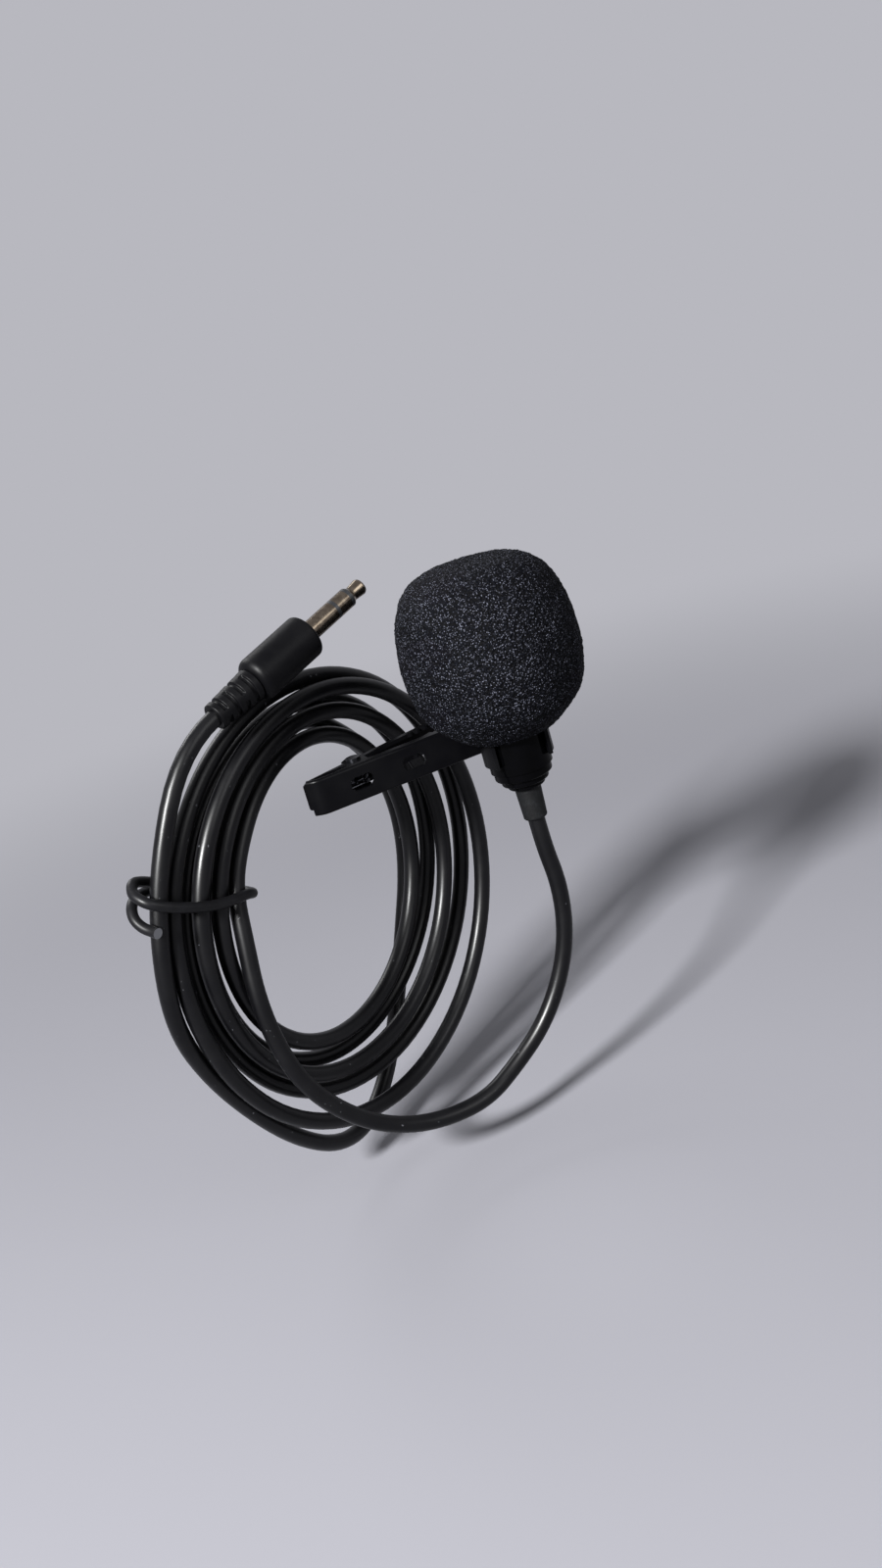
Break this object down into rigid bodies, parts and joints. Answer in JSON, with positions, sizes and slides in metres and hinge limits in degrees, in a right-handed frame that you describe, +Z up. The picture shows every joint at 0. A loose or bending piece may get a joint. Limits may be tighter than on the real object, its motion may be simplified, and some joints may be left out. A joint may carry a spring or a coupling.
{
  "type": "lavalier microphone",
  "caption": "Small clip-on microphone: glossy tube with a round foam windscreen, held in a ring on a toothed spring clip, with a thin cord coiled and tied, ending in a jack plug.",
  "frame": {"origin": "In the middle of the clip's open jaws, 3 mm inside their ends, halfway between the two rows of teeth.", "axes": "+X along the front arm from the finger levers towards the jaw ends, +Y from the front arm towards the rear arm, which is away from the microphone, +Z up along the microphone towards its windscreen."},
  "size_m": [0.0898, 0.0572, 0.1009],
  "materials": {
    "black_metal": "satin black paint on folded sheet",
    "spring_steel": "drawn wire and pressed disc",
    "gloss_black": "glossy black",
    "black_rubber": "satin black sheath and boots",
    "aluminium": "drawn can",
    "brass": "plain",
    "clear_film": "metallised film",
    "natural_plastic": "moulded",
    "green_laminate": "laminate",
    "matte_black": "fine matt",
    "black_foam": "open-cell foam with fine sparkles",
    "nickel": "nickel plated"
  },
  "bodies": {
    "clip": {"clip_front_arm": "black_metal", "clip_hinge_pin": "black_metal", "clip_torsion_spring": "spring_steel", "mic_holder_ring": "black_metal", "holder_rivet": "black_metal", "plug_strain_relief": "black_rubber", "plug_barrel": "matte_black", "plug_sleeve": "nickel", "plug_insulator_rear": "matte_black", "plug_ring": "nickel", "plug_insulator_front": "matte_black", "plug_insulator_tube": "natural_plastic", "plug_tip": "nickel", "cord_end_in_plug": "black_rubber", "cable_lead": "black_rubber", "cable_coil": "black_rubber", "cable_tail": "black_rubber", "cable_tie": "matte_black"},
    "rear_arm": {"clip_rear_arm": "black_metal"},
    "microphone": {"housing_tube": "gloss_black", "housing_end_cap": "gloss_black", "cable_boot": "black_rubber", "grille_disc": "spring_steel", "capsule_gasket": "black_rubber", "capsule_can": "aluminium", "capsule_film": "clear_film", "capsule_spacer": "brass", "capsule_back_plate": "brass", "capsule_insulator": "natural_plastic", "capsule_board": "green_laminate", "capsule_amplifier": "matte_black", "cord_crimp": "brass", "cord_conductors": "brass", "cord_end_in_housing": "black_rubber"},
    "windscreen": {"foam_windscreen": "black_foam"}
  },
  "joints": [
    {"name": "clip_hinge", "type": "hinge", "parent": "clip", "child": "rear_arm", "pos_m": [-0.025, -0.00348, 0], "axis": [0, 0, 1], "range_deg": [-21.5, 3], "stiffness_Nm_per_rad": 0.03},
    {"name": "mic_turn", "type": "hinge", "parent": "clip", "child": "microphone", "pos_m": [0.0007, -0.01394, 0], "axis": [0, 0, 1], "range_deg": [-180, 180]},
    {"name": "windscreen_pull", "type": "slide", "parent": "microphone", "child": "windscreen", "axis": [0, 0, 1], "range_m": [0, 0.03]}
  ]
}
